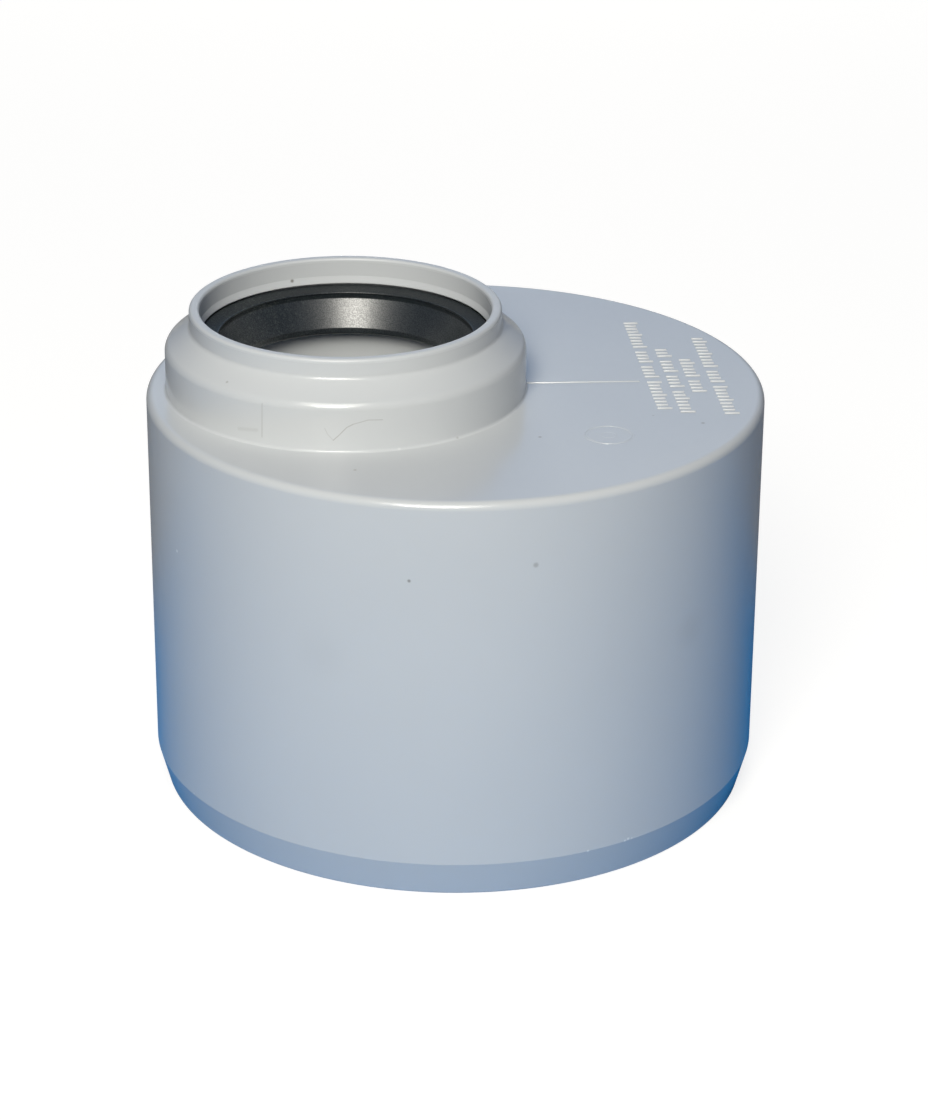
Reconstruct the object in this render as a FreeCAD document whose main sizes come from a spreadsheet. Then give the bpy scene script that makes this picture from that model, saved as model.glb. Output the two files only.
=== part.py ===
import FreeCAD, Part
import math
import os
import Sketcher

# Eccentric pipe increaser for push-fit drain pipe, standing on its spigot.
# Millimetres. The origin is the centre of the spigot's open end, +Z runs up the spigot's axis,
# and the socket for the smaller pipe sits off centre along -X.

document = FreeCAD.newDocument("pipe_increaser")

# Driving dimensions, each one set by itself.
DIMENSIONS = {
    # Spigot, the big end that goes into the larger pipe's socket.
    "spigot_diameter": 110.0,
    "spigot_wall": 2.7,
    "lead_in_height": 6.5,
    "lead_in_angle": 15.0,
    # Flat plate that closes the spigot around the socket.
    "plate_height": 73.7,
    "plate_thickness": 3.0,
    "plate_edge_round": 1.4,
    "plate_inner_round": 1.5,
    # The smaller pipe and how loosely it fits, on the radius.
    "pipe_diameter": 50.0,
    "tube_clearance": 0.4,
    "mouth_clearance": 0.8,
    "pipe_insertion": 46.8,
    # Outside of the socket, from the plate upwards. The strip is what stays flat at its nearest
    # point to the plate's edge.
    "flat_strip": 1.65,
    "bead_foot_round": 0.45,
    "bead_height": 8.3,
    "bead_wall": 2.2,
    "bead_edge_round": 1.8,
    "shoulder_rise": 3.4,
    "shoulder_root_round": 0.8,
    "collar_height": 3.4,
    "collar_wall": 1.8,
    "collar_outer_round": 0.6,
    "collar_inner_round": 0.5,
    # Inside of the socket, from the mouth downwards.
    "ledge_step": 0.35,
    "ledge_height": 1.3,
    "groove_depth": 4.4,
    "groove_height": 3.6,
    "groove_floor_thickness": 2.0,
    "tube_wall": 1.8,
    "stop_step": 2.2,
    "stop_thickness": 2.5,
    # Raised line on the plate, which points from the socket to the far side.
    "rib_length": 20.5,
    "rib_width": 0.6,
    "rib_height": 0.25,
    # Elastomer ring in the groove. A squeeze is how far it reaches inside the pipe's surface.
    "seal_clearance": 0.15,
    "seal_block_width": 3.4,
    "seal_web_thickness": 2.3,
    "nose_squeeze": 2.6,
    "nose_drop": 0.5,
    "nose_relief": 0.6,
    "lip_squeeze": 4.4,
    "lip_thickness": 1.2,
    "lip_height": 5.0,
    "lip_tip_height": 1.2,
    "lip_tip_round": 0.4,
}

# Radii and heights that follow from the driving dimensions.
STATIONS = {
    "spigot_radius": "dims.spigot_diameter / 2",
    "spigot_bore_radius": "spigot_radius - dims.spigot_wall",
    "lead_in_radius": "spigot_radius - dims.lead_in_height * tan(dims.lead_in_angle)",
    "plate_underside": "dims.plate_height - dims.plate_thickness",
    "pipe_radius": "dims.pipe_diameter / 2",
    "tube_bore_radius": "pipe_radius + dims.tube_clearance",
    "tube_radius": "tube_bore_radius + dims.tube_wall",
    "stop_radius": "tube_bore_radius - dims.stop_step",
    "groove_radius": "tube_bore_radius + dims.groove_depth",
    "bead_radius": "groove_radius + dims.bead_wall",
    "collar_bore_radius": "pipe_radius + dims.mouth_clearance",
    "collar_radius": "collar_bore_radius + dims.collar_wall",
    "ledge_radius": "collar_bore_radius - dims.ledge_step",
    "bead_margin": "dims.plate_edge_round + dims.flat_strip + dims.bead_foot_round",
    "socket_offset": "spigot_radius - bead_margin - bead_radius",
    "shoulder_foot": "dims.plate_height + dims.bead_height",
    "shoulder_top": "shoulder_foot + dims.shoulder_rise",
    "mouth_height": "shoulder_top + dims.collar_height",
    "ledge_bottom": "shoulder_top - dims.ledge_height",
    "ceiling_foot": "ledge_bottom - dims.shoulder_rise",
    "groove_floor": "ceiling_foot - dims.groove_height",
    "coring_top": "groove_floor - dims.groove_floor_thickness",
    "stop_top": "mouth_height - dims.pipe_insertion",
    "tube_end": "stop_top - dims.stop_thickness",
    # Hole through the plate, which ends inside the socket's wall.
    "opening_radius": "(groove_radius + bead_radius) / 2",
    "opening_start": "plate_underside - 1",
    "opening_end": "dims.plate_height + 1",
    # Seal, seated in the groove with its clearance all round.
    "seal_radius": "groove_radius - dims.seal_clearance",
    "seal_block_radius": "seal_radius - dims.seal_block_width",
    "seal_seat": "groove_floor + dims.seal_clearance",
    "seal_shoulder": "ceiling_foot - 2 * dims.seal_clearance",
    "seal_top": "ledge_bottom - 2 * dims.seal_clearance",
    "seal_web_underside": "seal_top - dims.seal_web_thickness",
    "nose_radius": "pipe_radius - dims.nose_squeeze",
    "nose_height": "seal_top - dims.nose_drop",
    "relief_radius": "nose_radius + dims.nose_relief",
    "relief_height": "nose_height - dims.nose_relief",
    "lip_root_radius": "nose_radius + dims.nose_relief / 2",
    "lip_root_height": "relief_height - dims.nose_relief",
    "lip_radius": "pipe_radius - dims.lip_squeeze",
    "lip_end_height": "lip_root_height - dims.lip_height",
    "lip_tip_underside": "lip_end_height - dims.lip_tip_height",
    "lip_back_radius": "lip_radius + dims.lip_thickness",
    "lip_back_root_radius": "lip_root_radius + dims.lip_thickness",
}


def make_sheet(name, cells, prefix):
    """A spreadsheet with one named cell per entry."""
    sheet = document.addObject("Spreadsheet::Sheet", name)
    for row, (alias, content) in enumerate(cells.items(), start=1):
        sheet.set(f"A{row}", alias)
        sheet.set(f"B{row}", f"{prefix}{content}")
        sheet.setAlias(f"B{row}", alias)
    document.recompute()
    return sheet


dims = make_sheet("dims", DIMENSIONS, "")
stations = make_sheet("stations", STATIONS, "=")


def number(reference):
    """The present value of a named dimension or station. None is zero."""
    if reference is None:
        return 0.0
    sheet = stations if reference in STATIONS else dims
    return sheet.get(reference)


def expression(reference):
    """The expression that reads a named dimension or station."""
    sheet = "stations" if reference in STATIONS else "dims"
    return f"{sheet}.{reference}"


def new_body(label):
    body = document.addObject("PartDesign::Body", label)
    body.Label = label
    return body


def new_sketch(body, name, role):
    """A sketch on one of its own body's origin planes."""
    sketch = body.newObject("Sketcher::SketchObject", name)
    plane = [item for item in body.Origin.OriginFeatures if item.Role == role][0]
    sketch.AttachmentSupport = [(plane, "")]
    sketch.MapMode = "FlatFace"
    sketch.Visibility = False
    return sketch


def bind(sketch, kind, reference, *places):
    """Adds a measuring constraint and ties it to a named dimension or station."""
    index = sketch.addConstraint(Sketcher.Constraint(kind, *places, number(reference)))
    label = f"{reference}_{index}"
    sketch.renameConstraint(index, label)
    sketch.setExpression(f"Constraints.{label}", expression(reference))


def place_corner(sketch, geometry, position, radius, height):
    """Ties a point to its radius and height. None puts it on the axis or at height zero."""
    if radius is None:
        sketch.addConstraint(Sketcher.Constraint("PointOnObject", geometry, position, -2))
    else:
        bind(sketch, "DistanceX", radius, -1, 1, geometry, position)
    if height is None:
        sketch.addConstraint(Sketcher.Constraint("PointOnObject", geometry, position, -1))
    else:
        bind(sketch, "DistanceY", height, -1, 1, geometry, position)


def round_off(corner, before, after, size):
    """Where an arc of this radius leaves and joins the two lines that meet in a corner."""
    back = (before - corner).normalize()
    ahead = (after - corner).normalize()
    half_angle = back.getAngle(ahead) / 2
    leave = corner + back * (size / math.tan(half_angle))
    join = corner + ahead * (size / math.tan(half_angle))
    centre = corner + (back + ahead).normalize() * (size / math.sin(half_angle))
    turns_left = ahead.cross(back).z > 0
    return leave, join, centre, turns_left


def profile(body, name, corners):
    """Closed outline in the XZ plane. A corner is a radius, a height and, if it is round, a size."""
    sketch = new_sketch(body, name, "XZ_Plane")
    count = len(corners)
    points = [FreeCAD.Vector(number(corner[0]), number(corner[1]), 0) for corner in corners]
    starts = list(points)
    ends = points[1:] + points[:1]
    arcs = {}
    for index, corner in enumerate(corners):
        if len(corner) < 3:
            continue
        size = number(corner[2])
        leave, join, centre, turns_left = round_off(
            points[index], points[index - 1], points[(index + 1) % count], size)
        ends[index - 1] = leave
        starts[index] = join
        first, last = (leave, join) if turns_left else (join, leave)
        spread = [math.atan2(point.y - centre.y, point.x - centre.x) for point in (first, last)]
        circle = Part.Circle(centre, FreeCAD.Vector(0, 0, 1), size)
        arcs[index] = (Part.ArcOfCircle(circle, spread[0], spread[1]), turns_left)
    for start, end in zip(starts, ends):
        sketch.addGeometry(Part.LineSegment(start, end), False)
    for index, corner in enumerate(corners):
        line_before = (index - 1) % count
        if index not in arcs:
            sketch.addConstraint(Sketcher.Constraint("Coincident", line_before, 2, index, 1))
            place_corner(sketch, index, 1, corner[0], corner[1])
            continue
        arc, turns_left = arcs[index]
        arc_start, arc_end = (1, 2) if turns_left else (2, 1)
        round_piece = sketch.addGeometry(arc, False)
        mark = sketch.addGeometry(Part.Point(points[index]), True)
        sketch.addConstraint(Sketcher.Constraint("Tangent", line_before, 2, round_piece, arc_start))
        sketch.addConstraint(Sketcher.Constraint("Tangent", round_piece, arc_end, index, 1))
        sketch.addConstraint(Sketcher.Constraint("PointOnObject", mark, 1, line_before))
        sketch.addConstraint(Sketcher.Constraint("PointOnObject", mark, 1, index))
        place_corner(sketch, mark, 1, corner[0], corner[1])
        bind(sketch, "Radius", corner[2], round_piece)
    return sketch


def revolve(body, kind, name, corners, on_socket_axis):
    """Turns an outline a full circle about the spigot's or the socket's axis."""
    sketch = profile(body, f"{name}_outline", corners)
    if on_socket_axis:
        sketch.setExpression("AttachmentOffset.Base.x", "-stations.socket_offset")
    feature = body.newObject(f"PartDesign::{kind}", name)
    feature.Profile = sketch
    feature.ReferenceAxis = (sketch, ["V_Axis"])
    feature.Angle = 360
    document.recompute()
    return feature


def build_increaser():
    """The one-piece moulding: spigot, plate, socket and index rib."""
    body = new_body("increaser_body")
    revolve(body, "Revolution", "spigot", [
        ("spigot_bore_radius", None),
        ("lead_in_radius", None),
        ("spigot_radius", "lead_in_height"),
        ("spigot_radius", "plate_height", "plate_edge_round"),
        (None, "plate_height"),
        (None, "plate_underside"),
        ("spigot_bore_radius", "plate_underside", "plate_inner_round"),
    ], on_socket_axis=False)
    revolve(body, "Groove", "plate_opening", [
        (None, "opening_start"),
        ("opening_radius", "opening_start"),
        ("opening_radius", "opening_end"),
        (None, "opening_end"),
    ], on_socket_axis=True)
    # The socket's whole wall: bead, shoulder and collar outside, then mouth, seal groove and
    # tube inside, and the ring-shaped hollow between tube and bead that keeps the wall even.
    revolve(body, "Revolution", "socket", [
        ("groove_radius", "plate_underside"),
        ("bead_radius", "plate_underside"),
        ("bead_radius", "shoulder_foot", "bead_edge_round"),
        ("collar_radius", "shoulder_top", "shoulder_root_round"),
        ("collar_radius", "mouth_height", "collar_outer_round"),
        ("collar_bore_radius", "mouth_height", "collar_inner_round"),
        ("collar_bore_radius", "shoulder_top"),
        ("ledge_radius", "ledge_bottom"),
        ("groove_radius", "ceiling_foot"),
        ("groove_radius", "groove_floor"),
        ("tube_bore_radius", "groove_floor"),
        ("tube_bore_radius", "stop_top"),
        ("stop_radius", "stop_top"),
        ("stop_radius", "tube_end"),
        ("tube_radius", "tube_end"),
        ("tube_radius", "coring_top"),
        ("groove_radius", "coring_top"),
    ], on_socket_axis=True)
    round_bead_foot(body)
    add_index_rib(body)
    return body


def round_bead_foot(body):
    """Fillet where the bead stands on the plate."""
    base = body.Tip
    foot = []
    for index, edge in enumerate(base.Shape.Edges, start=1):
        if not isinstance(edge.Curve, Part.Circle):
            continue
        off_radius = abs(edge.Curve.Radius - number("bead_radius"))
        off_height = abs(edge.Curve.Center.z - number("plate_height"))
        if max(off_radius, off_height) < 1e-4:
            foot.append(f"Edge{index}")
    fillet = body.newObject("PartDesign::Fillet", "bead_foot")
    fillet.Base = (base, foot)
    fillet.setExpression("Radius", "dims.bead_foot_round")
    document.recompute()


def add_index_rib(body):
    """Thin raised line on the plate, straight out from the bead along +X."""
    sketch = new_sketch(body, "index_rib_outline", "XY_Plane")
    sketch.setExpression("AttachmentOffset.Base.x", "-stations.socket_offset")
    sketch.setExpression("AttachmentOffset.Base.z", "dims.plate_height - dims.rib_height")
    start = number("bead_radius")
    end = start + number("rib_length")
    side = number("rib_width") / 2
    points = [FreeCAD.Vector(x, y, 0) for x, y in [(start, -side), (end, -side), (end, side), (start, side)]]
    for index in range(4):
        sketch.addGeometry(Part.LineSegment(points[index], points[(index + 1) % 4]), False)
    for index in range(4):
        sketch.addConstraint(Sketcher.Constraint("Coincident", index, 2, (index + 1) % 4, 1))
    for index, direction in [(0, "Horizontal"), (2, "Horizontal"), (3, "Vertical")]:
        sketch.addConstraint(Sketcher.Constraint(direction, index))
    sketch.addConstraint(Sketcher.Constraint("Symmetric", 1, 1, 1, 2, -1))
    bind(sketch, "DistanceX", "bead_radius", -1, 1, 0, 1)
    bind(sketch, "DistanceX", "rib_length", 0, 1, 0, 2)
    bind(sketch, "DistanceY", "rib_width", 1, 1, 1, 2)
    rib = body.newObject("PartDesign::Pad", "index_rib")
    rib.Profile = sketch
    rib.setExpression("Length", "2 * dims.rib_height")
    document.recompute()


def build_seal():
    """The lip seal: a block in the groove, a web under the collar and a lip that leans inwards."""
    body = new_body("lip_seal")
    revolve(body, "Revolution", "seal_ring", [
        ("seal_radius", "seal_seat"),
        ("seal_radius", "seal_shoulder"),
        ("ledge_radius", "seal_top"),
        ("nose_radius", "nose_height"),
        ("relief_radius", "relief_height"),
        ("lip_root_radius", "lip_root_height"),
        ("lip_radius", "lip_end_height", "lip_tip_round"),
        ("lip_radius", "lip_tip_underside", "lip_tip_round"),
        ("lip_back_radius", "lip_tip_underside", "lip_tip_round"),
        ("lip_back_root_radius", "seal_web_underside"),
        ("seal_block_radius", "seal_web_underside"),
        ("seal_block_radius", "seal_seat"),
    ], on_socket_axis=True)
    return body


def check(bodies):
    """Stops the build when a feature failed or a solid is missing or unsound."""
    for item in document.Objects:
        if "Invalid" in item.State or "Error" in item.State:
            raise RuntimeError(f"{item.Name} failed: {item.State}")
    for body in bodies:
        shape = body.Shape
        if shape.isNull() or not shape.isValid() or len(shape.Solids) != 1:
            raise RuntimeError(f"{body.Label} isn't one sound solid")


def export(bodies):
    os.makedirs("parts", exist_ok=True)
    for body in bodies:
        body.Shape.exportStep(f"parts/{body.Label}.step")


sub_parts = [build_increaser(), build_seal()]
document.recompute()
check(sub_parts)
export(sub_parts)
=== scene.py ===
import math

import bmesh
import bpy
from mathutils import Matrix, Vector


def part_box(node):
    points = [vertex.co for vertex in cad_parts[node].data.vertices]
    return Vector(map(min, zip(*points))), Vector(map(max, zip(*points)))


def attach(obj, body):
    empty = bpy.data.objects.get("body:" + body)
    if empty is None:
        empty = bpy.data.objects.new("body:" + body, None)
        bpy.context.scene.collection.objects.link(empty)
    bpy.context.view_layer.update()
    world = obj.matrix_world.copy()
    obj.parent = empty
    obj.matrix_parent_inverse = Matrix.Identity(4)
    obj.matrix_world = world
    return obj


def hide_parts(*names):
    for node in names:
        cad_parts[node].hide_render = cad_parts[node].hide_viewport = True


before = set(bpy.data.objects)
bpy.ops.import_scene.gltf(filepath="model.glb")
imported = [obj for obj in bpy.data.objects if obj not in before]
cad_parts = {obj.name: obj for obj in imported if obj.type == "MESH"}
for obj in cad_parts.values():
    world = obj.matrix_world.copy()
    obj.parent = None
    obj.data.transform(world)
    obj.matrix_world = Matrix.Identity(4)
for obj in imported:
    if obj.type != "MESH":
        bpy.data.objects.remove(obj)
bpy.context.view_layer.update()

# Looks of a push-fit pipe increaser: a grey plastic moulding with a dark seal in its socket.
# Shapes are given in millimetres and become metres when a piece is finished.

MM = 0.001
FACETS = 288  # in a full turn of the moulding
HOLD = 0.12  # straight run that is kept flat beside a round


def box_in_mm(node):
    """Lowest and highest corner of a node of the frame."""
    return [[round(value / MM, 2) for value in corner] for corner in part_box(node)]


# Sizes that the frame gives.
BODY_LOW, BODY_HIGH = box_in_mm("increaser_body")
SEAL_LOW, SEAL_HIGH = box_in_mm("lip_seal")
SPIGOT_RADIUS = BODY_HIGH[0]
MOUTH_TOP = BODY_HIGH[2]
SOCKET_AXIS = (SEAL_LOW[0] + SEAL_HIGH[0]) / 2
SEAL_RADIUS = (SEAL_HIGH[0] - SEAL_LOW[0]) / 2
SEAL_TOP = SEAL_HIGH[2]
LIP_END = SEAL_LOW[2]

# Heights, from the mouth downwards.
COLLAR_FOOT = MOUTH_TOP - 3.4
BEAD_TOP = COLLAR_FOOT - 3.4
PLATE_TOP = BEAD_TOP - 8.3
PLATE_UNDERSIDE = PLATE_TOP - 3.0
LEDGE = COLLAR_FOOT - 1.3
CEILING_FOOT = LEDGE - 3.4
GROOVE_FLOOR = CEILING_FOOT - 3.6
CORING_TOP = GROOVE_FLOOR - 2.0
STOP_TOP = MOUTH_TOP - 46.8
TUBE_END = STOP_TOP - 2.5
LEAD_IN = 6.5

# Radii of the spigot, and of the socket from its bead inwards.
SPIGOT_BORE = SPIGOT_RADIUS - 2.7
LEAD_IN_END = SPIGOT_RADIUS - LEAD_IN * math.tan(math.radians(15))
GROOVE = SEAL_RADIUS + 0.15
BEAD = GROOVE + 2.2
TUBE_BORE = GROOVE - 4.4
TUBE = TUBE_BORE + 1.8
STOP = TUBE_BORE - 2.2
COLLAR_BORE = TUBE_BORE + 0.4
COLLAR = COLLAR_BORE + 1.8
LEDGE_RADIUS = COLLAR_BORE - 0.35

PLATE_EDGE_ROUND = 1.4
BEAD_FOOT_ROUND = 0.45
PLATE_INNER_ROUND = 1.5
CORING_ROUND = 0.4

# Outlines, from the plate outwards and round. Each corner is radius, height and round.
SPIGOT_OUTLINE = [
    (SPIGOT_RADIUS - PLATE_EDGE_ROUND - HOLD, PLATE_TOP, 0),
    (SPIGOT_RADIUS, PLATE_TOP, PLATE_EDGE_ROUND),
    (SPIGOT_RADIUS, LEAD_IN, 0.3),
    (LEAD_IN_END, 0, 0.3),
    (SPIGOT_BORE, 0, 0.3),
    (SPIGOT_BORE, PLATE_UNDERSIDE, PLATE_INNER_ROUND),
    (SPIGOT_BORE - PLATE_INNER_ROUND - HOLD, PLATE_UNDERSIDE, 0),
]
SOCKET_OUTLINE = [
    (BEAD + BEAD_FOOT_ROUND + HOLD, PLATE_TOP, 0),
    (BEAD, PLATE_TOP, BEAD_FOOT_ROUND),
    (BEAD, BEAD_TOP, 1.8),
    (COLLAR, COLLAR_FOOT, 0.8),
    (COLLAR, MOUTH_TOP, 0.6),
    (COLLAR_BORE, MOUTH_TOP, 0.5),
    (COLLAR_BORE, COLLAR_FOOT, 0.2),
    (LEDGE_RADIUS, LEDGE, 0.2),
    (GROOVE, CEILING_FOOT, 0.3),
    (GROOVE, GROOVE_FLOOR, 0.3),
    (TUBE_BORE, GROOVE_FLOOR, 0.4),
    (TUBE_BORE, STOP_TOP, 0.3),
    (STOP, STOP_TOP, 0.4),
    (STOP, TUBE_END, 0.4),
    (TUBE, TUBE_END, 0.5),
    (TUBE, CORING_TOP, 0.5),
    (GROOVE, CORING_TOP, 0.5),
    (GROOVE, PLATE_UNDERSIDE, CORING_ROUND),
    (GROOVE + CORING_ROUND + HOLD, PLATE_UNDERSIDE, 0),
]

# The seal: its block in the groove, then the nose over the mouth, the upright face under it and
# the lip that leans in.
SEAT = GROOVE_FLOOR + 0.15
WEB_UNDERSIDE = SEAL_TOP - 2.3
NOSE = 22.4
NOSE_HEIGHT = SEAL_TOP - 0.5
RELIEF = NOSE + 0.45
RELIEF_TOP = NOSE_HEIGHT - 0.4
RELIEF_FOOT = NOSE_HEIGHT - 1.2
LIP = 20.6
LIP_THICKNESS = 1.2
LIP_ROUND = 0.4
BLOCK_INSIDE = SEAL_RADIUS - 3.4
SEAL_OUTLINE = [
    (SEAL_RADIUS, SEAT, 0.3),
    (SEAL_RADIUS, CEILING_FOOT - 0.3, 0.3),
    (LEDGE_RADIUS, SEAL_TOP, 0.2),
    (NOSE, NOSE_HEIGHT, 0.22),
    (RELIEF, RELIEF_TOP, 0.1),
    (RELIEF, RELIEF_FOOT, 0.1),
    (LIP, LIP_END + LIP_THICKNESS, LIP_ROUND),
    (LIP, LIP_END, LIP_ROUND),
    (LIP + LIP_THICKNESS, LIP_END, LIP_ROUND),
    (NOSE + 1.5, WEB_UNDERSIDE, 0.3),
    (BLOCK_INSIDE, WEB_UNDERSIDE, 0.3),
    (BLOCK_INSIDE, SEAT, 0.3),
]

# Relief on the plate starts this far below its top.
SUNK = 0.1

# The raised line on the plate, from inside the bead's wall outwards.
INDEX_LINE_START = SOCKET_AXIS + BEAD - 0.6
INDEX_LINE_END = 33.0
INDEX_LINE_WIDTH = 0.45
INDEX_LINE_HEIGHT = 0.14
INDEX_LINE_DRAFT = 0.08

# Rows of plain raised ticks on the plate: place along X, first tick's Y, ticks in each group.
TICK_ROWS = [
    (35.2, -13.4, (9, 4, 4, 9)),
    (39.0, -15.2, (7, 4, 4, 3)),
    (42.6, -5.2, (4, 6)),
    (46.6, -16.2, (9, 4, 10)),
]
TICK_PITCH = 1.6
TICK_GAP = 1.3  # added between groups
TICK_WIDTH = 0.45
TICK_REACH = 1.35  # from a row's place back to its foot
TICK_LENGTH = TICK_REACH * 1.6
LONG_TICK_LENGTH = TICK_REACH * 2.0
LONG_TICK_EVERY = 4
TICK_HEIGHT = 0.2
TICK_DRAFT = 0.06
ROW_SLANT = 0.037  # along X, for each millimetre along Y
ROW_MIDDLE = 9.0

# Round mark of a mould insert on the plate: each ring's radius, step aside and height.
MARK_CENTRE = (24.9, -25.6)
MARK_RINGS = [(4.05, 0.0, 0.05), (4.0, 0.45, 0.02), (1.3, 0.1, 0.02)]
MARK_FACETS = 96
RING_FOOT = 0.16  # half of a ring's width at its foot
RING_CREST = 0.08  # and at its crest


# Shapes

def round_corner(bm, corner, size):
    """Rounds one corner of an outline and holds the straight runs beside it."""
    runs = [edge.other_vert(corner).co - corner.co for edge in corner.link_edges]
    reach = size / math.tan(runs[0].angle(runs[1]) / 2)
    for edge in list(corner.link_edges):
        length = edge.calc_length()
        if length > reach + 1.2 * HOLD:
            bmesh.utils.edge_split(edge, corner, (reach + HOLD) / length)
    bmesh.ops.bevel(
        bm, geom=[corner], affect="VERTICES", offset_type="OFFSET", offset=reach,
        segments=max(3, round(size * 4) + 2), profile=0.5, material=-1)


def turn(bm, outline, axis_x=0.0, axis_y=0.0, facets=FACETS, closed=False):
    """Spins an outline a full turn about an upright axis."""
    corners = [bm.verts.new((axis_x + radius, axis_y, height)) for radius, height, _ in outline]
    for here, there in zip(corners, corners[1:]):
        bm.edges.new((here, there))
    if closed:
        bm.edges.new((corners[-1], corners[0]))
    for corner, (_, _, size) in zip(corners, outline):
        if size:
            round_corner(bm, corner, size)
    wires = [edge for edge in bm.edges if edge.is_wire]
    points = list({point for wire in wires for point in wire.verts})
    bmesh.ops.spin(
        bm, geom=points + wires, cent=(axis_x, axis_y, 0), axis=(0, 0, 1), angle=math.tau,
        steps=facets, use_merge=True)


def rim(bm, height):
    """The open edges that lie at a height."""
    return [
        edge for edge in bm.edges
        if edge.is_boundary and all(abs(point.co.z - height) < 1e-4 for point in edge.verts)]


def raised_bar(bm, x_range, y_range, height, draft):
    """A low bar on the plate with drafted sides and softened top edges."""
    made = bmesh.ops.create_cube(bm, size=1.0)["verts"]
    size = Vector((x_range[1] - x_range[0], y_range[1] - y_range[0], height + SUNK))
    middle = Vector((sum(x_range) / 2, sum(y_range) / 2, PLATE_TOP + (height - SUNK) / 2))
    bmesh.ops.scale(bm, vec=size, verts=made)
    top = [point for point in made if point.co.z > 0]
    bmesh.ops.scale(bm, vec=(1 - 2 * draft / size.x, 1 - 2 * draft / size.y, 1), verts=top)
    bmesh.ops.translate(bm, vec=middle, verts=made)
    edges = list({edge for point in top for edge in point.link_edges})
    bmesh.ops.bevel(
        bm, geom=edges, affect="EDGES", offset_type="OFFSET", offset=draft * 0.8,
        segments=2, profile=0.5, material=-1)


def finish_piece(name, bm, material, slot, *replaced):
    """Makes a bmesh into a piece of the part, in metres, with its material. The slot is not used.
    """
    bmesh.ops.recalc_face_normals(bm, faces=bm.faces)
    bmesh.ops.scale(bm, vec=(MM, MM, MM), verts=bm.verts)
    mesh = bpy.data.meshes.new(name)
    bm.to_mesh(mesh)
    bm.free()
    mesh.shade_smooth()
    mesh.set_sharp_from_angle(angle=math.radians(50))
    mesh.materials.append(material)
    piece = bpy.data.objects.new(name, mesh)
    bpy.context.scene.collection.objects.link(piece)
    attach(piece, "root")
    if replaced:
        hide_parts(*replaced)
    return piece


# Materials

class Shade:
    """A socket that takes part in sums. Each sum adds the Math node that works it out."""

    def __init__(self, nodes, socket):
        self.nodes = nodes
        self.socket = socket

    def __add__(self, other):
        return self.nodes.sum("ADD", self, other)

    def __radd__(self, other):
        return self.nodes.sum("ADD", other, self)

    def __sub__(self, other):
        return self.nodes.sum("SUBTRACT", self, other)

    def __rsub__(self, other):
        return self.nodes.sum("SUBTRACT", other, self)

    def __mul__(self, other):
        return self.nodes.sum("MULTIPLY", self, other)

    def __rmul__(self, other):
        return self.nodes.sum("MULTIPLY", other, self)

    def __pow__(self, other):
        return self.nodes.sum("POWER", self, other)


class Nodes:
    """Adds nodes to one node tree."""

    def __init__(self, tree):
        self.tree = tree

    def put(self, kind, settings=None, inputs=None, output=0):
        """A node of this kind: its settings first, then its sockets."""
        node = self.tree.nodes.new(kind)
        for name, value in (settings or {}).items():
            setattr(node, name, value)
        for name, value in (inputs or {}).items():
            self.feed(node.inputs[name], value)
        return Shade(self, node.outputs[output])

    def feed(self, socket, value):
        """Links a socket to what feeds it, or sets its number."""
        if isinstance(value, Shade):
            self.tree.links.new(value.socket, socket)
        else:
            socket.default_value = value

    def sum(self, operation, *values):
        """A sum on numbers."""
        return self.put("ShaderNodeMath", {"operation": operation}, dict(enumerate(values)))

    def vector(self, operation, *values, output=0):
        """A sum on vectors. Output 1 is its number, such as a length."""
        return self.put(
            "ShaderNodeVectorMath", {"operation": operation}, dict(enumerate(values)), output)

    def mix(self, share, one, other):
        """Colour between two, by a share of the other."""
        return self.put(
            "ShaderNodeMix", {"data_type": "RGBA"}, {0: share, 6: one, 7: other}, output=2)

    def fade(self, value, full, gone):
        """One where the value is at full, falling smoothly to nothing at gone."""
        return self.put(
            "ShaderNodeMapRange", {"interpolation_type": "SMOOTHSTEP"},
            {0: value, 1: full, 2: gone, 3: 1.0, 4: 0.0})

    def noise(self, place, scale, detail=2.0):
        """Cloudy noise with that many lumps to the metre."""
        return self.put(
            "ShaderNodeTexNoise", inputs={"Vector": place, "Scale": scale, "Detail": detail})


class Finish(Nodes):
    """A material that reads the place on the object, in metres."""

    def __init__(self, name):
        self.material = bpy.data.materials.new(name)
        self.material.use_nodes = True
        super().__init__(self.material.node_tree)
        self.shader = self.tree.nodes["Principled BSDF"]
        self.place = self.put("ShaderNodeTexCoord", output=3)

    def set(self, **sockets):
        """Feeds the shader's sockets. An underscore stands for a space in a name."""
        for name, value in sockets.items():
            self.feed(self.shader.inputs[name.replace("_", " ")], value)

    def spot(self, point, radius, blur):
        """Mask of a small round mark, in millimetres."""
        apart = self.vector("DISTANCE", self.place, Vector(point) * MM, output=1)
        return self.fade(apart, (radius - blur) * MM, (radius + blur) * MM)

    def stroke(self, start, end, width, blur):
        """Mask of a thin straight mark, in millimetres."""
        start, end = Vector(start) * MM, Vector(end) * MM
        run = end - start
        from_start = self.vector("SUBTRACT", self.place, start)
        along = self.vector("DOT_PRODUCT", from_start, run / run.length_squared, output=1)
        along = self.put("ShaderNodeClamp", inputs={0: along})
        nearest = self.vector("MULTIPLY", along, run)
        apart = self.vector("LENGTH", self.vector("SUBTRACT", from_start, nearest), output=1)
        return self.fade(apart, (width - blur) * MM / 2, (width + blur) * MM / 2)

    def strongest(self, masks):
        """The strongest of some masks, each with its strength."""
        total = 0.0
        for mask, strength in masks:
            total = self.sum("MAXIMUM", total, mask * strength)
        return total


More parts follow.
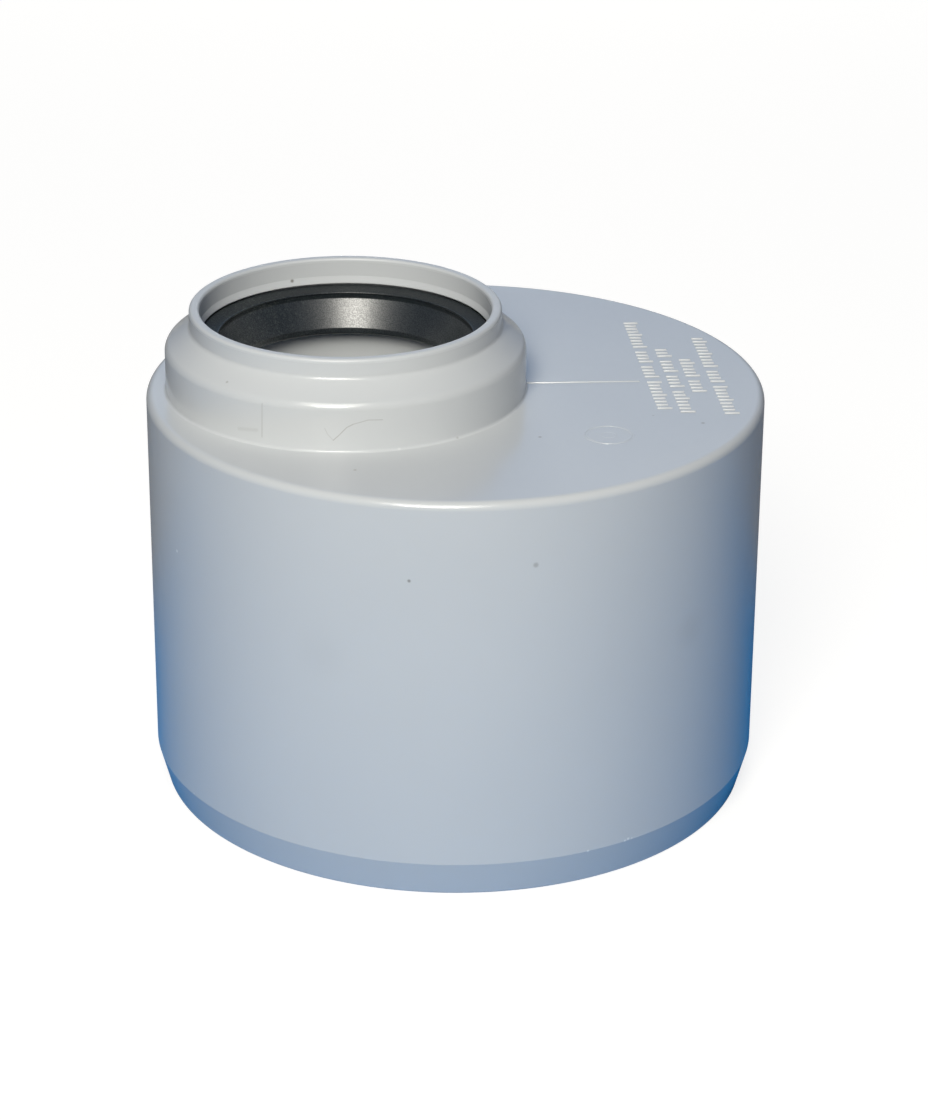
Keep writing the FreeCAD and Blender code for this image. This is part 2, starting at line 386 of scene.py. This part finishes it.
PLASTIC_SHADES = (0.590, 0.610, 0.620, 1), (0.620, 0.640, 0.650, 1)
# A paler shade of the plastic, for the raised ticks.
PALER_SHADES = (0.58, 0.60, 0.61, 1), (0.68, 0.69, 0.69, 1)
DARK_MARK = (0.20, 0.19, 0.17, 1)
PALE_MARK = (0.88, 0.88, 0.86, 1)
RUBBER_SHADES = (0.006, 0.009, 0.011, 1), (0.012, 0.017, 0.020, 1)
DUST_COLOUR = (0.26, 0.29, 0.26, 1)
DUST_MIDDLE = (-44.0, 10.0, 83.0)

# Small marks on the moulding: middle, radius and strength.
DARK_SPECKS = [
    ((-10.45, -54.00, 59.63), 0.26, 0.75),
    ((10.51, -53.99, 62.13), 0.42, 0.40),
    ((-28.81, 24.06, 85.09), 0.30, 0.90),
    ((-40.22, -22.42, 83.14), 0.22, 0.40),
    ((-18.91, -39.74, PLATE_TOP), 0.24, 0.80),
    ((13.11, -26.12, PLATE_TOP), 0.26, 0.90),
    ((41.85, -20.70, PLATE_TOP), 0.28, 0.85),
    ((33.60, -16.75, PLATE_TOP), 0.16, 0.50),
    ((-1.14, -26.21, 73.75), 0.25, 0.35),
]
SMUDGES = [
    ((38.4, -39.3, 42.9), 2.6, 0.07),
    ((-25.0, -48.9, 44.0), 3.5, 0.04),
]
PALE_SPECKS = [
    ((-49.57, -23.83, 52.47), 0.26, 0.90),
    ((-11.23, -30.89, PLATE_TOP), 0.30, 0.35),
    ((20.59, -51.00, 6.5), 0.22, 0.80),
    ((27.3, -47.7, 6.6), 0.20, 0.75),
    ((27.9, -47.4, 6.8), 0.22, 0.80),
    ((28.6, -47.0, 6.7), 0.16, 0.60),
    ((-47.78, -27.23, 6.7), 0.18, 0.50),
]

# Fine scratches and a hair mark on the bead: points of each, width and strength.
SCRATCHES = [
    ([(-34.29, -28.38, 81.5), (-34.41, -28.32, 75.3)], 0.14, 0.35),
    ([(-38.31, -25.89, 75.93), (-35.28, -27.84, 76.42)], 0.60, 0.12),
    ([(-23.79, -31.71, 78.08), (-23.33, -31.77, 77.03), (-22.37, -31.87, 75.95)], 0.16, 0.18),
    ([(-22.37, -31.87, 75.95), (-21.36, -31.95, 76.92), (-20.09, -31.99, 78.28),
      (-18.97, -32.00, 78.86)], 0.16, 0.42),
    ([(-18.97, -32.00, 78.86), (-16.44, -31.85, 79.53), (-14.03, -31.53, 79.42)], 0.16, 0.32),
]


def grey_plastic():
    """Glossy grey moulding plastic, slightly cloudy, with a few specks, nicks and scratches."""
    finish = Finish("grey_moulded_plastic")
    clouds = finish.noise(finish.place, 38.0, 3.0)
    ripple = finish.noise(finish.place, 150.0)
    wear = finish.noise(finish.place, 95.0, 4.0)
    colour = finish.mix(clouds, *PLASTIC_SHADES)
    specks = [(finish.spot(point, radius, radius * 0.6), strength)
              for point, radius, strength in DARK_SPECKS]
    for points, width, strength in SCRATCHES:
        for start, end in zip(points, points[1:]):
            specks.append((finish.stroke(start, end, width, width * 0.8), strength))
    specks += [(finish.spot(point, radius, radius * 0.9), strength)
               for point, radius, strength in SMUDGES]
    dark = finish.strongest(specks)
    pale = finish.strongest([(finish.spot(point, radius, radius * 0.6), strength)
                           for point, radius, strength in PALE_SPECKS])
    colour = finish.mix(dark, colour, DARK_MARK)
    colour = finish.mix(pale, colour, PALE_MARK)
    rubbed_and_paler = finish.fade(wear, 0.66, 0.56)
    height_up = finish.put("ShaderNodeSeparateXYZ", inputs={0: finish.place}, output=2)
    at_rim = finish.fade(height_up, (MOUTH_TOP - 0.3) * MM, (MOUTH_TOP - 1.2) * MM)
    rough = 0.16 + clouds * 0.05 + rubbed_and_paler * 0.04 + dark * 0.2 + at_rim * 0.22
    height = ripple - dark * 0.4
    bump = finish.put(
        "ShaderNodeBump", inputs={"Strength": 0.10, "Distance": 0.0001, "Height": height})
    finish.set(Base_Color=colour, Roughness=rough, Normal=bump, IOR=1.5)
    return finish.material


def paler_plastic():
    """The same plastic in a paler shade, for the raised ticks."""
    finish = Finish("paler_plastic")
    wear = finish.noise(finish.place, 900.0, 3.0)
    colour = finish.mix(wear, *PALER_SHADES)
    finish.set(Base_Color=colour, Roughness=0.28 + wear * 0.15)
    return finish.material


def dark_rubber():
    """Dark seal rubber with a fine grain and dust on one side. Its lip and nose edge shine."""
    finish = Finish("dark_seal_rubber")
    grain = finish.noise(finish.place, 5000.0, 3.0)
    patches = finish.noise(finish.place, 420.0, 3.0)
    colour = finish.mix(patches, *RUBBER_SHADES)
    side = finish.vector("DISTANCE", finish.place, Vector(DUST_MIDDLE) * MM, output=1)
    dusty = finish.fade(side, 8 * MM, 24 * MM)
    flecks = finish.fade(finish.noise(finish.place, 3200.0, 3.0), 0.68, 0.50)
    dust = flecks * (0.06 + dusty * 0.22)
    colour = finish.mix(dust, colour, DUST_COLOUR)
    bump = finish.put(
        "ShaderNodeBump", inputs={"Strength": 1.0, "Distance": 0.00006, "Height": grain})
    height = finish.put("ShaderNodeSeparateXYZ", inputs={0: finish.place}, output=2)
    lip = finish.fade(height, (NOSE_HEIGHT - 1.3) * MM, (NOSE_HEIGHT - 0.9) * MM)
    nose_foot = finish.fade(height, (NOSE_HEIGHT - 0.5) * MM, (NOSE_HEIGHT - 0.3) * MM)
    nose_edge = finish.fade(height, NOSE_HEIGHT * MM, (NOSE_HEIGHT + 0.1) * MM) - nose_foot
    shine = (lip + nose_edge * 0.8) * (0.5 + finish.fade(grain, 0.60, 0.40) * 0.5)
    finish.set(
        Base_Color=colour, Roughness=0.42 + dust * 0.3, Normal=bump, IOR=1.42,
        Coat_Weight=shine, Coat_IOR=1.95, Coat_Roughness=0.35)
    return finish.material


# Stage, light and camera

VIEW_AZIMUTH = math.radians(-3.29)
VIEW_ELEVATION = math.radians(23.90)
VIEW_ROLL = math.radians(-0.39)
VIEW_DISTANCE = 0.600
VIEW_LENS = 105.606
VIEW_ASIDE = 0.00171
VIEW_HEIGHT = 0.03933

LAMP_COLOUR = (1.00, 0.97, 0.89)
LAMP_TARGET = Vector((0, 0, 0.06))
GLOW_ELEVATION = math.radians(28)
GLOW_NARROWNESS = 12
GLOW_COLOUR = (0.18, 0.37, 0.70)
ROOM_COLOUR = (0.01, 0.03, 0.08)
BACKDROP_COLOUR = (0.93, 0.94, 0.95, 1)
CARD_GREY = (0.30, 0.29, 0.27, 1)
CARD_BLUE = (0.02, 0.23, 0.56, 1)


def direction(azimuth, elevation):
    """Unit vector away from the part. Azimuth zero is the part's front, and grows to the right."""
    return Vector((
        math.sin(azimuth) * math.cos(elevation),
        -math.cos(azimuth) * math.cos(elevation),
        math.sin(elevation)))


def place_camera():
    """Stands the camera at the photograph's viewing angle."""
    back = direction(VIEW_AZIMUTH, VIEW_ELEVATION)
    aside = Vector((math.cos(VIEW_AZIMUTH), math.sin(VIEW_AZIMUTH), 0))
    upward = back.cross(aside)
    right = aside * math.cos(VIEW_ROLL) - upward * math.sin(VIEW_ROLL)
    up = aside * math.sin(VIEW_ROLL) + upward * math.cos(VIEW_ROLL)
    spot = aside * VIEW_ASIDE + Vector((0, 0, VIEW_HEIGHT)) + back * VIEW_DISTANCE
    data = bpy.data.cameras.new("photo_camera")
    data.lens = VIEW_LENS
    data.sensor_fit = "AUTO"
    data.sensor_width = 36.0
    data.clip_start = 0.02
    camera = bpy.data.objects.new("photo_camera", data)
    axes = Matrix((right, up, back)).transposed()
    camera.matrix_world = Matrix.Translation(spot) @ axes.to_4x4()
    bpy.context.scene.collection.objects.link(camera)
    bpy.context.scene.camera = camera


def soft_box(name, azimuth, elevation, distance, size, power):
    """A square soft light that looks at the part. Its azimuth is from the camera's."""
    data = bpy.data.lights.new(name, "AREA")
    data.shape = "SQUARE"
    data.size = size
    data.energy = power
    data.color = LAMP_COLOUR
    lamp = bpy.data.objects.new(name, data)
    away = direction(VIEW_AZIMUTH + math.radians(azimuth), math.radians(elevation))
    lamp.location = away * distance + LAMP_TARGET
    lamp.rotation_euler = away.to_track_quat("Z", "Y").to_euler()
    bpy.context.scene.collection.objects.link(lamp)
    return lamp


def light_room():
    """A dim room with a broad glow behind the part. The camera itself sees plain pale."""
    world = bpy.data.worlds.new("studio_room")
    world.use_nodes = True
    nodes = Nodes(world.node_tree)
    facing = nodes.put("ShaderNodeTexCoord")
    middle = direction(VIEW_AZIMUTH + math.pi, GLOW_ELEVATION)
    towards = nodes.vector("DOT_PRODUCT", facing, middle, output=1)
    share = nodes.sum("MAXIMUM", towards, 0.0) ** GLOW_NARROWNESS
    room = nodes.vector("MULTIPLY_ADD", share, GLOW_COLOUR, ROOM_COLOUR)
    to_camera = nodes.put("ShaderNodeLightPath")
    background = world.node_tree.nodes["Background"]
    nodes.feed(background.inputs["Color"], nodes.mix(to_camera, room, BACKDROP_COLOUR))
    bpy.context.scene.world = world


def lay_sheet(name, size, height, material):
    """A flat square sheet of the stage."""
    bm = bmesh.new()
    bmesh.ops.create_grid(bm, x_segments=1, y_segments=1, size=size / 2)
    bmesh.ops.translate(bm, vec=(0, 0, height), verts=bm.verts)
    mesh = bpy.data.meshes.new(name)
    bm.to_mesh(mesh)
    bm.free()
    mesh.materials.append(material)
    sheet = bpy.data.objects.new(name, mesh)
    bpy.context.scene.collection.objects.link(sheet)
    return sheet


def lay_floor():
    """Pale floor that only the camera sees. The part sees a grey card instead, which is blue
    in front of it and beside it.
    """
    pale = Finish("pale_floor")
    pale.set(
        Base_Color=CARD_GREY, Roughness=1.0, Specular_IOR_Level=0.0,
        Emission_Color=(0.80, 0.80, 0.80, 1), Emission_Strength=1.0)
    floor = lay_sheet("studio_floor", 12.0, -0.0001, pale.material)
    floor.visible_diffuse = False
    floor.visible_glossy = False
    floor.visible_shadow = False
    blue = Finish("blue_card")
    out = blue.vector("LENGTH", blue.place, output=1)
    back = blue.put("ShaderNodeSeparateXYZ", inputs={0: blue.place}, output=1)
    near = blue.fade(out, 0.15, 0.30) * blue.fade(back, 0.03, 0.10)
    colour = blue.mix(near, CARD_GREY, CARD_BLUE)
    blue.set(Base_Color=colour, Roughness=1.0, Specular_IOR_Level=0.0)
    card = lay_sheet("blue_card", 4.0, -0.0002, blue.material)
    card.visible_camera = False


def set_stage():
    """Camera, room, floor and lamps."""
    place_camera()
    light_room()
    lay_floor()
    soft_box("key_light", -9, 33, 0.9, 0.28, 4.2)
    soft_box("fill_light", -8, 46, 1.5, 0.8, 12.8)
    soft_box("back_light", 180, 10, 1.5, 0.5, 13.0).visible_glossy = False
    bpy.context.scene.view_settings.view_transform = "Standard"


# The part

def make_moulding(material):
    """The one-piece moulding: spigot, plate and socket."""
    bm = bmesh.new()
    turn(bm, SPIGOT_OUTLINE)
    turn(bm, SOCKET_OUTLINE, SOCKET_AXIS)
    bmesh.ops.bridge_loops(bm, edges=rim(bm, PLATE_TOP))
    bmesh.ops.bridge_loops(bm, edges=rim(bm, PLATE_UNDERSIDE))
    finish_piece("moulding", bm, material, "moulded_plastic", "increaser_body")


def make_seal(material):
    """The seal ring with its nose and its lip, which leans in."""
    bm = bmesh.new()
    turn(bm, SEAL_OUTLINE, SOCKET_AXIS, closed=True)
    finish_piece("mouth_seal", bm, material, "seal_rubber", "lip_seal")


def make_index_line(material):
    """The raised line from the bead towards the ticks."""
    bm = bmesh.new()
    side = INDEX_LINE_WIDTH / 2
    run = (INDEX_LINE_START, INDEX_LINE_END)
    raised_bar(bm, run, (-side, side), INDEX_LINE_HEIGHT, INDEX_LINE_DRAFT)
    finish_piece("index_line", bm, material, "moulded_plastic")


def make_ticks(material):
    """Rows of plain raised ticks. Each group starts with a longer one."""
    bm = bmesh.new()
    for x, y, groups in TICK_ROWS:
        for group in groups:
            for number in range(group):
                length = TICK_LENGTH if number % LONG_TICK_EVERY else LONG_TICK_LENGTH
                foot = x - TICK_REACH - ROW_SLANT * (y - ROW_MIDDLE)
                span = (y - TICK_WIDTH / 2, y + TICK_WIDTH / 2)
                raised_bar(bm, (foot, foot + length), span, TICK_HEIGHT, TICK_DRAFT)
                y += TICK_PITCH
            y += TICK_GAP
    finish_piece("plate_ticks", bm, material, "moulded_plastic")


def make_round_mark(material):
    """Thin raised rings that a round insert of the mould leaves on the plate."""
    bm = bmesh.new()
    for radius, aside, rise in MARK_RINGS:
        low, high = PLATE_TOP - SUNK, PLATE_TOP + rise
        ring = [
            (radius - RING_FOOT, low, 0), (radius - RING_CREST, high, 0),
            (radius + RING_CREST, high, 0), (radius + RING_FOOT, low, 0)]
        turn(bm, ring, MARK_CENTRE[0] + aside, MARK_CENTRE[1], MARK_FACETS, closed=True)
    finish_piece("round_mark", bm, material, "moulded_plastic")


set_stage()
plastic = grey_plastic()
# The raised ticks get a paler shade of the plastic.
rubbed_and_paler = paler_plastic()
make_moulding(plastic)
make_index_line(plastic)
make_ticks(rubbed_and_paler)
make_round_mark(plastic)
make_seal(dark_rubber())
